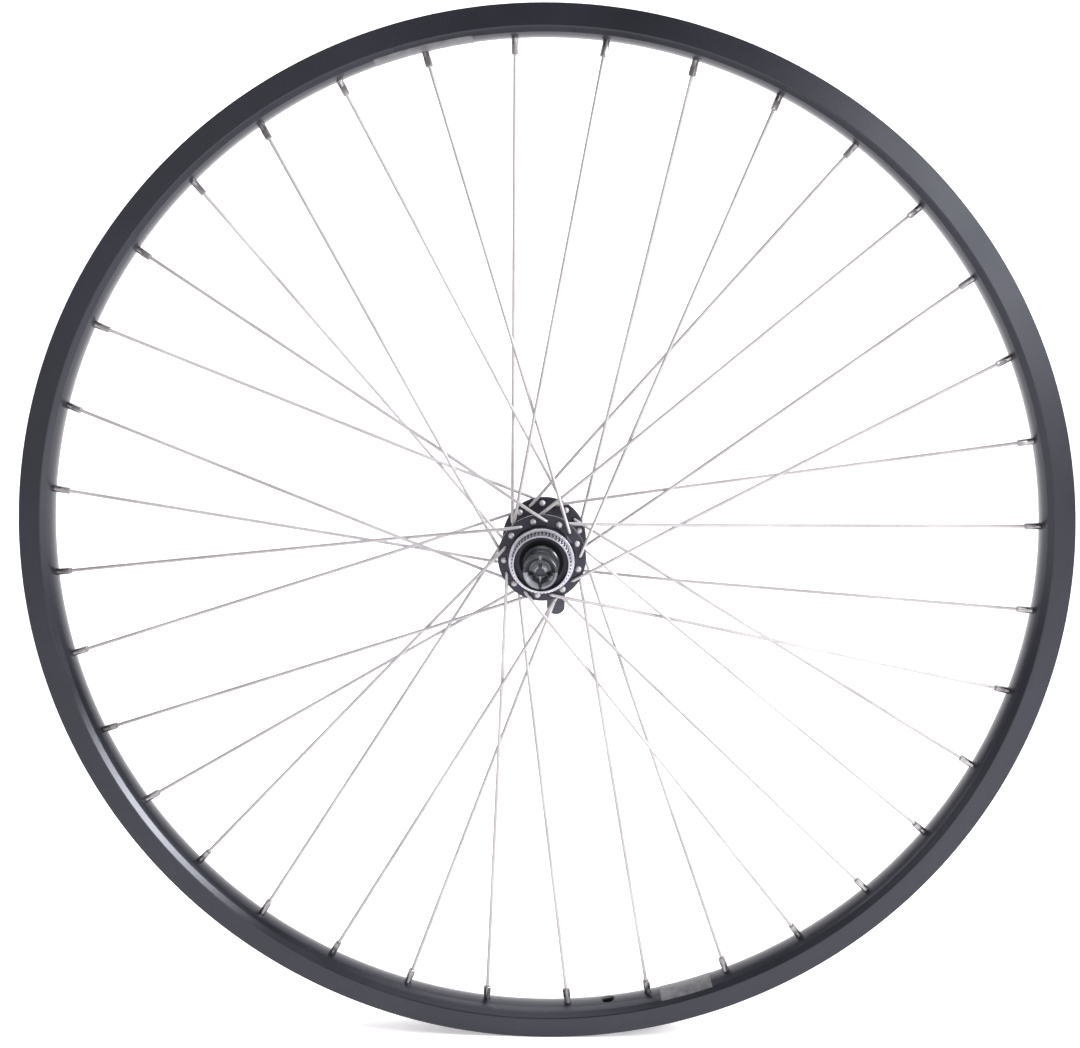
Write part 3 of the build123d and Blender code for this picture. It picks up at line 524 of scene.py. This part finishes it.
def drilled(bm, drills):
    """Cuts the holes that drills make in a shape."""
    work = []
    for name, shape in (("body", bm), ("drills", drills)):
        mesh = bpy.data.meshes.new(name)
        shape.to_mesh(mesh)
        shape.free()
        work.append(bpy.data.objects.new(name, mesh))
        bpy.context.scene.collection.objects.link(work[-1])
    cut = work[0].modifiers.new("holes", "BOOLEAN")
    cut.operation = "DIFFERENCE"
    cut.solver = "EXACT"
    cut.object = work[1]
    mesh = bpy.data.meshes.new_from_object(work[0].evaluated_get(bpy.context.evaluated_depsgraph_get()))
    result = bmesh.new()
    result.from_mesh(mesh)
    for made in work:
        leftover = made.data
        bpy.data.objects.remove(made)
        bpy.data.meshes.remove(leftover)
    bpy.data.meshes.remove(mesh)
    return result


def circle(bm, radius, sides, matrix, filled=False):
    """Adds a circle and gives its edges."""
    made = bmesh.ops.create_circle(bm, cap_ends=filled, radius=radius, segments=sides, matrix=matrix)
    return list(dict.fromkeys(edge for vert in made["verts"] for edge in vert.link_edges))


def grown(bm, ring, shift=(0, 0, 0), scale=1.0, about=Vector()):
    """Extrudes a ring of edges, scales the new ring about a point and moves it."""
    made = bmesh.ops.extrude_edge_only(bm, edges=ring)["geom"]
    verts = [part for part in made if isinstance(part, bmesh.types.BMVert)]
    bmesh.ops.scale(bm, vec=(scale, scale, scale), space=Matrix.Translation(-about), verts=verts)
    bmesh.ops.translate(bm, vec=shift, verts=verts)
    return edges_in(made)


def softened(node, radius, crease=25):
    """A CAD node's own form with its hard edges rounded."""
    bm = bmesh.new()
    bm.from_mesh(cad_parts[node].data)
    bmesh.ops.scale(bm, vec=(1 / MM, 1 / MM, 1 / MM), verts=bm.verts)
    bmesh.ops.remove_doubles(bm, verts=bm.verts, dist=CAD_MERGE_DISTANCE)
    bmesh.ops.dissolve_limit(bm, angle_limit=radians(1), verts=bm.verts, edges=bm.edges)
    hard = [e for e in bm.edges if e.is_manifold and e.calc_face_angle() > radians(crease)]
    bmesh.ops.bevel(bm, geom=hard, offset=radius, offset_type="OFFSET", segments=2, profile=0.5,
                    affect="EDGES", clamp_overlap=True, material=-1)
    return bm


# Rim: the hooked, hollow section with a flat chamfer beside a crowned spoke bed, drilled for the nipples,
# their key and the valve
wall_inside = RIM_HALF_WIDTH - RIM_SIDE_WALL
bed = HALF_BED + [(BED_R, 0.0)] + mirrored(HALF_BED)
half_section = [
    (WELL_R, WELL_HALF_WIDTH, 0.8),
    (BEAD_SEAT_R, SEAT_HALF_WIDTH, 0.8),
    (BEAD_SEAT_R, wall_inside, 0.8),
    (RIM_R - HOOK_DEPTH, wall_inside),
    (RIM_R - HOOK_NOSE, LIP_HALF_WIDTH, 0.5),
    (RIM_R, LIP_HALF_WIDTH + LIP_CHAMFER, 0.5),
    (RIM_R, RIM_HALF_WIDTH, 0.5),
    (RIM_R - WALL_LEAD, RIM_HALF_WIDTH),
    (SHOULDER_R + WALL_LEAD, RIM_HALF_WIDTH),
    (SHOULDER_R, RIM_HALF_WIDTH, 0.6),
    (SHOULDER_R - CHAMFER_LEAD[0], RIM_HALF_WIDTH - CHAMFER_LEAD[1]),
]
rim = turned(half_section + bed + mirrored(half_section), RIM_STEPS)
half_cavity = [
    (WELL_R - RIM_FLOOR_WALL, WELL_HALF_WIDTH),
    (BEAD_SEAT_R - RIM_FLOOR_WALL, SEAT_HALF_WIDTH),
    (BEAD_SEAT_R - RIM_FLOOR_WALL, wall_inside),
    (SHOULDER_R, wall_inside),
    (BED_R + RIM_BED_WALL, BED_HALF_WIDTH - RIM_SIDE_WALL / 2),
]
cavity = turned(half_cavity + mirrored(half_cavity), HOLLOW_STEPS)
bmesh.ops.reverse_faces(cavity, faces=cavity.faces)
joined(rim, cavity)
cavity.free()
drills = bmesh.new()
for lacing in lacings:
    drill(drills, lacing.at_rim(-DRILL_LEAD), NIPPLE_HOLE_R, NIPPLE_DRILL, NARROW_HOLE_SIDES)
    drill(drills, lacing.at_rim(ACCESS_HOLE_START), ACCESS_HOLE_R, ACCESS_DRILL, ACCESS_HOLE_SIDES)
valve_line = on_wheel(1, VALVE_ANGLE, 0)
valve_start = aimed(valve_line * (BED_R - DRILL_LEAD), valve_line)
drill(drills, valve_start, VALVE_HOLE_R, VALVE_DRILL, VALVE_HOLE_SIDES)
rim = drilled(rim, drills)

# Faces in the valve hole and the hollow are bare. The hollow lies inside a skin that slopes in to the bed.
SKIN_AT_BED = 4.5
SKIN_FLARE = 1.25
SKIN_AT_SIDE = RIM_HALF_WIDTH - 1.0
HOLLOW_FROM_R = BED_R + 1.2
HOLLOW_TO_R = WELL_R - 0.9
for face in rim.faces:
    middle = face.calc_center_median()
    along_valve = middle.dot(valve_line)
    in_valve_hole = along_valve > 0 and (middle - valve_line * along_valve).length < VALVE_HOLE_R
    skin = min(SKIN_AT_BED + SKIN_FLARE * (from_axle(middle) - BED_R), SKIN_AT_SIDE)
    in_hollow = abs(middle.y) < skin and HOLLOW_FROM_R < from_axle(middle) < HOLLOW_TO_R
    face.material_index = int(in_valve_hole or in_hollow)
piece("rim_anodised", rim, rim_black, "wheel", ["rim"], bare_aluminium, RIM_CREASE)

# Bare label strips wrapped across the spoke bed
strip = [LABEL_EDGE, *bed, *mirrored([LABEL_EDGE])]
strip_section = [(radius - LABEL_PROUD, y) for radius, y in strip]
strip_section += [(radius + LABEL_SUNK, y) for radius, y in reversed(strip)]
for name, start, sweep in (("rim_label_low", 284.6, 6.4), ("rim_label_high", 97.6, 11.0)):
    piece(name, turned(strip_section, LABEL_STEPS, start, sweep), label_film, "wheel")

# Spokes: a headed wire bent over the flange, round its partner and into its nipple
for number, lacing in enumerate(lacings, start=1):
    bm = bmesh.new()
    points = lacing.route()
    here = lacing.head_seat - lacing.away * SPOKE_HEAD_HEIGHT
    ring = circle(bm, SPOKE_HEAD[0][1], SPOKE_SIDES, aimed(here, lacing.away), filled=True)
    for (low, low_radius), (high, high_radius) in zip(SPOKE_HEAD, SPOKE_HEAD[1:]):
        ring = grown(bm, ring, lacing.away * (high - low), high_radius / low_radius, here)
        here = here + lacing.away * (high - low)
    bends = [ELBOW_R, LACE_BEND_R, LACE_BEND_R]
    for before, corner, after, bend_r in zip(points, points[1:], points[2:], bends):
        way_in = (corner - before).normalized()
        way_out = (after - corner).normalized()
        angle = way_in.angle(way_out)
        setback = bend_r * tan(angle / 2)
        ring = grown(bm, ring, corner - way_in * setback - here)
        here = corner - way_in * setback
        axis = way_in.cross(way_out).normalized()
        centre = here + axis.cross(way_in) * bend_r
        steps = max(2, round(angle / radians(BEND_STEP)))
        made = bmesh.ops.spin(bm, geom=ring, cent=centre, axis=axis, angle=angle, steps=steps)
        ring = edges_in(made["geom_last"])
        here = corner + way_out * setback
    ring = grown(bm, ring, points[-1] - here)
    bmesh.ops.holes_fill(bm, edges=ring)
    node = f"spoke_{number:02d}"
    piece(f"{node}_wire", bm, spoke_steel, "wheel", [node])

# Nipples: a square key with rounded corners, a shoulder to a round barrel, and a head inside the rim
nipple = bmesh.new()
circle(nipple, NIPPLE_TIP_FLATS / sqrt(2), 4, Matrix.Rotation(pi / 4, 4, "Z"))
bmesh.ops.bevel(nipple, geom=nipple.verts[:], offset=NIPPLE_KEY_ROUND, offset_type="OFFSET", segments=3,
                profile=0.5, affect="VERTICES", clamp_overlap=True, material=-1)
tip = nipple.edges[:]
mouth = grown(nipple, tip, scale=NIPPLE_MOUTH_FLATS / NIPPLE_TIP_FLATS)
mouth = grown(nipple, mouth, (0, 0, NIPPLE_MOUTH_DEPTH), NIPPLE_INNER_FLATS / NIPPLE_MOUTH_FLATS)
key = grown(nipple, tip, (0, 0, NIPPLE_TIP_HEIGHT), NIPPLE_KEY_FLATS / NIPPLE_TIP_FLATS)
key = grown(nipple, key, (0, 0, NIPPLE_KEY_LENGTH))
shoulder = Matrix.Translation((0, 0, NIPPLE_SHOULDER)) @ Matrix.Rotation(pi / NIPPLE_SIDES, 4, "Z")
barrel = circle(nipple, NIPPLE_R, NIPPLE_SIDES, shoulder)
bmesh.ops.bridge_loops(nipple, edges=key + barrel)
head_seat = Vector((0, 0, NIPPLE_REACH + NIPPLE_HEAD_START))
head_edge = head_seat + Vector((0, 0, NIPPLE_HEAD_EDGE))
head_top = head_seat + Vector((0, 0, NIPPLE_HEAD_HEIGHT))
barrel = grown(nipple, barrel, head_seat - Vector((0, 0, NIPPLE_SHOULDER)))
head = grown(nipple, barrel, scale=NIPPLE_HEAD_R / NIPPLE_R, about=head_seat)
head = grown(nipple, head, head_edge - head_seat)
head = grown(nipple, head, head_top - head_edge, NIPPLE_HEAD_TOP_R / NIPPLE_HEAD_R, head_edge)
bore = grown(nipple, head, scale=NIPPLE_BORE_R / NIPPLE_HEAD_TOP_R, about=head_top)
bmesh.ops.bridge_loops(nipple, edges=bore + mouth)
nipples = bmesh.new()
for lacing in lacings:
    joined(nipples, nipple, lacing.at_rim(-NIPPLE_REACH))
nipple.free()
piece("spoke_nipples_plated", nipples, nipple_plated, "wheel", ["spoke_nipples"])

# Hub shell: the waisted barrel and its two drilled flanges
disc_out = -FLANGE_OFFSET[DISC_SIDE] - FLANGE_THICKNESS / 2
disc_in = disc_out + FLANGE_THICKNESS
lever_out = FLANGE_OFFSET[LEVER_SIDE] + FLANGE_THICKNESS / 2
lever_in = lever_out - FLANGE_THICKNESS
shell = turned([
    (SPLINE_BORE_R - PRESS_GAP, SHELL_DISC_END),
    (SPLINE_BORE_R - PRESS_GAP, RING_START),
    (DISC_SEAT_R, RING_START),
    (DISC_SEAT_R, disc_out, 1.0),
    (FLANGE_R, disc_out, 0.7),
    (FLANGE_R, disc_in, 0.7),
    (BARREL_ROOT_R, disc_in, 1.0),
    (BARREL_R, disc_in + BARREL_FLARE, 4.0),
    (BARREL_R, lever_in - BARREL_FLARE, 4.0),
    (BARREL_ROOT_R, lever_in, 1.0),
    (FLANGE_R, lever_in, 0.7),
    (FLANGE_R, lever_out, 0.7),
    (BARREL_ROOT_R, lever_out, 1.0),
    (NOSE_TIP_R, SHELL_LEVER_END, 0.4),
    (CUP_SEAT_R, SHELL_LEVER_END),
    (CUP_SEAT_R, LEVER_CUP_FLOOR),
    (SHELL_BORE_R, LEVER_CUP_FLOOR),
    (SHELL_BORE_R, DISC_CUP_FLOOR),
    (CUP_SEAT_R, DISC_CUP_FLOOR),
    (CUP_SEAT_R, SHELL_DISC_END),
], SHELL_STEPS)
drills = bmesh.new()
for lacing in lacings:
    start = aimed(lacing.head_seat - lacing.away * DRILL_LEAD, lacing.away)
    drill(drills, start, SPOKE_HOLE_R, FLANGE_THICKNESS + 2 * DRILL_LEAD, NARROW_HOLE_SIDES)
piece("hub_shell_turned", drilled(shell, drills), hub_black, "wheel", ["hub_shell"])

# Spline ring: teeth raised from the turned ring, their fronts sloped back behind a smooth lip
ring = turned([
    (SPLINE_BORE_R, RING_START),
    (DISC_SEAT_R, RING_START, 0.3),
    (DISC_SEAT_R, DISC_SEAT, 0.3),
    (SPLINE_R + DISC_SEAT_EDGE, DISC_SEAT),
    (SPLINE_ROOT_R, DISC_SEAT),
    (SPLINE_ROOT_R, TEETH_END),
    (SPLINE_ROOT_R, RING_END, 0.2),
    (SPLINE_BORE_R, RING_END, 0.2),
], SPLINE_STEPS * SPLINE_COUNT)
teeth = []
for face in ring.faces:
    middle = face.calc_center_median()
    on_root = abs(from_axle(middle) - SPLINE_ROOT_R) < NEAR and TEETH_END < middle.y < DISC_SEAT
    turn = Vector((middle.x, middle.z)).angle_signed(Vector((1, 0))) / (2 * pi)
    into_pitch = turn * SPLINE_COUNT % 1
    if on_root and into_pitch < 0.5:
        teeth.append(face)
raised = bmesh.ops.extrude_face_region(ring, geom=teeth)["geom"]
tops = [part for part in raised if isinstance(part, bmesh.types.BMVert)]
bmesh.ops.delete(ring, geom=teeth, context="FACES")
lift = SPLINE_R / SPLINE_ROOT_R
bmesh.ops.scale(ring, vec=(lift, 1, lift), verts=tops)
fronts = [vert for vert in tops if vert.co.y < TEETH_END + NEAR]
bmesh.ops.translate(ring, vec=(0, SPLINE_FRONT_SLOPE, 0), verts=fronts)

# Roots and flanks get the painted shade, while the teeth's tops and sloped fronts stay bright
for face in ring.faces:
    middle = face.calc_center_median()
    below_tops = SPLINE_ROOT_R - NEAR < from_axle(middle) < SPLINE_R - NEAR
    behind_fronts = TEETH_END + SPLINE_FRONT_SLOPE + NEAR < middle.y < DISC_SEAT + NEAR
    face.material_index = int(below_tops and behind_fronts)
piece("rotor_spline_ring_machined", ring, spline_silver, "wheel", ["rotor_spline_ring"],
      spline_root_shade)

# Bearing balls
for side, name in ((DISC_SIDE, "disc_side"), (LEVER_SIDE, "lever_side")):
    balls = bmesh.new()
    for index in range(BALL_COUNT):
        at = Matrix.Translation(on_wheel(BALL_CIRCLE_R, index * 360 / BALL_COUNT, BALL_ROW[side]))
        bmesh.ops.create_uvsphere(balls, u_segments=20, v_segments=12, radius=BALL_R, matrix=at)
    piece(f"{name}_balls_ground", balls, bearing_steel, f"{name}_balls",
          [f"{name}_bearing_balls"])

# Rubber boot: a smooth bell over the disc-side cone
boot = turned([
    (BOOT_BORE_R, BOOT_START),
    (BOOT_R, BOOT_START, 0.5),
    (BOOT_R, BOOT_SHOULDER, 0.7),
    (BOOT_NECK_R, BOOT_NECK, 0.7),
    (BOOT_FRONT_R, BOOT_END, 0.6),
    (BOOT_BORE_R, BOOT_END),
], BOOT_STEPS)
piece("axle_boot_moulded", boot, boot_rubber, "axle", ["axle_boot"])

# Pieces whose own form is right: their hard edges are rounded
for node, radius, finish, body, slot in (
    ("skewer_nut", 0.35, nut_black, "nut", "skewer_black"),
    ("cam_housing", 0.5, skewer_black, "skewer", "skewer_black"),
    ("skewer_lever", 0.6, skewer_black, "lever", "skewer_black"),
    ("lever_cap", 0.4, skewer_black, "lever", "skewer_black"),
    ("skewer_rod", 0.3, skewer_black, "rod", "skewer_black"),
    ("axle", 0.3, axle_steel, "axle", "axle_steel"),
    ("axle_locknuts", 0.3, axle_steel, "axle", "axle_steel"),
    ("disc_side_spacer", 0.15, axle_steel, "axle", "axle_steel"),
    ("lever_side_spacer", 0.15, axle_steel, "axle", "axle_steel"),
    ("disc_side_dust_cap", 0.15, cap_black, "wheel", "hub_black"),
    ("lever_side_dust_cap", 0.15, cap_black, "wheel", "hub_black"),
    ("disc_side_bearing_cup", 0.15, bearing_steel, "wheel", "bearing_steel"),
    ("lever_side_bearing_cup", 0.15, bearing_steel, "wheel", "bearing_steel"),
    ("disc_side_bearing_cone", 0.15, bearing_steel, "axle", "bearing_steel"),
    ("lever_side_bearing_cone", 0.15, bearing_steel, "axle", "bearing_steel"),
):
    made = piece(f"{node}_edged", softened(node, radius), finish, body, [node])
    made.modifiers.new("even_shading", "WEIGHTED_NORMAL").keep_sharp = True

# Pale floor that sweeps up into a plain backdrop, in metres
FLOOR_Z = -RIM_R * MM
FLOOR_HALF = 3.0
FLOOR_MIDDLE_Y = -1.6
SWEEP_R = 0.8
WALL_HEIGHT = 2.5
backdrop = bmesh.new()
bmesh.ops.create_grid(backdrop, x_segments=1, y_segments=1, size=FLOOR_HALF,
                      matrix=Matrix.Translation((0, FLOOR_MIDDLE_Y, FLOOR_Z)))
far = [edge for edge in backdrop.edges if all(vert.co.y > 0 for vert in edge.verts)]
sweep_centre = (0, FLOOR_MIDDLE_Y + FLOOR_HALF, FLOOR_Z + SWEEP_R)
swept = bmesh.ops.spin(backdrop, geom=far, cent=sweep_centre, axis=(1, 0, 0), angle=radians(90), steps=24)
grown(backdrop, edges_in(swept["geom_last"]), (0, 0, WALL_HEIGHT))
bmesh.ops.recalc_face_normals(backdrop, faces=backdrop.faces)
mesh = bpy.data.meshes.new("backdrop")
backdrop.to_mesh(mesh)
backdrop.free()
mesh.shade_smooth()
mesh.materials.append(paper)
floor = bpy.data.objects.new("backdrop", mesh)
bpy.context.scene.collection.objects.link(floor)
floor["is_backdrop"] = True

# Soft studio light: each lamp's place, aim and size in metres, and its power in watts
world = bpy.data.worlds.new("studio")
world.use_nodes = True
background = world.node_tree.nodes["Background"]
background.inputs["Color"].default_value = linear("#fbf8fb")
background.inputs["Strength"].default_value = 0.45
bpy.context.scene.world = world
for name, place, aim, size, power in (
    ("key", (0.7, -1.7, 0.2), (0.27, 0, 0.15), 0.5, 5.5),
    ("fill_card", (-0.65, -1.7, 0.25), (-0.27, 0, 0.15), 0.8, 1.2),
    ("front_card", (0.0, -2.3, -0.25), (0, 0, 0), 0.6, 1.6),
    ("side_window", (1.25, -0.42, 0.56), (-0.26, 0, -0.15), 0.5, 24.0),
    ("overhead", (0.1, -0.1, 1.5), (0, 0, 0), 1.4, 10.0),
    ("left_screen", (-1.5, 0.1, 0.75), (0, 0, 0), 0.8, 8.0),
    ("right_screen", (1.5, 0.1, 0.75), (0, 0, 0), 0.8, 6.0),
    ("back_wash", (0.0, 0.9, 2.2), (0, 1.9, 0.4), 2.0, 28.0),
):
    lamp = bpy.data.lights.new(name, "AREA")
    lamp.energy = power
    lamp.size = size
    light = bpy.data.objects.new(name, lamp)
    light.location = place
    light.rotation_mode = "QUATERNION"
    light.rotation_quaternion = (Vector(aim) - Vector(place)).to_track_quat("-Z", "Y")
    bpy.context.scene.collection.objects.link(light)
bpy.context.scene.view_settings.view_transform = "Standard"

# Camera at the place and angle of the photograph's, in metres
CAMERA_PLACE = Vector((0.0241, -0.9431, 0.20658))
CAMERA_LOOK = Vector((-0.0269, 0.97976, -0.19834))
lens = bpy.data.cameras.new("camera")
lens.sensor_fit = "HORIZONTAL"
lens.sensor_width = 36.0
lens.lens = 52.92
lens.clip_start = 0.01
camera = bpy.data.objects.new("camera", lens)
camera.location = CAMERA_PLACE
camera.rotation_mode = "QUATERNION"
camera.rotation_quaternion = CAMERA_LOOK.to_track_quat("-Z", "Y")
bpy.context.scene.collection.objects.link(camera)
bpy.context.scene.camera = camera

low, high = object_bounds()
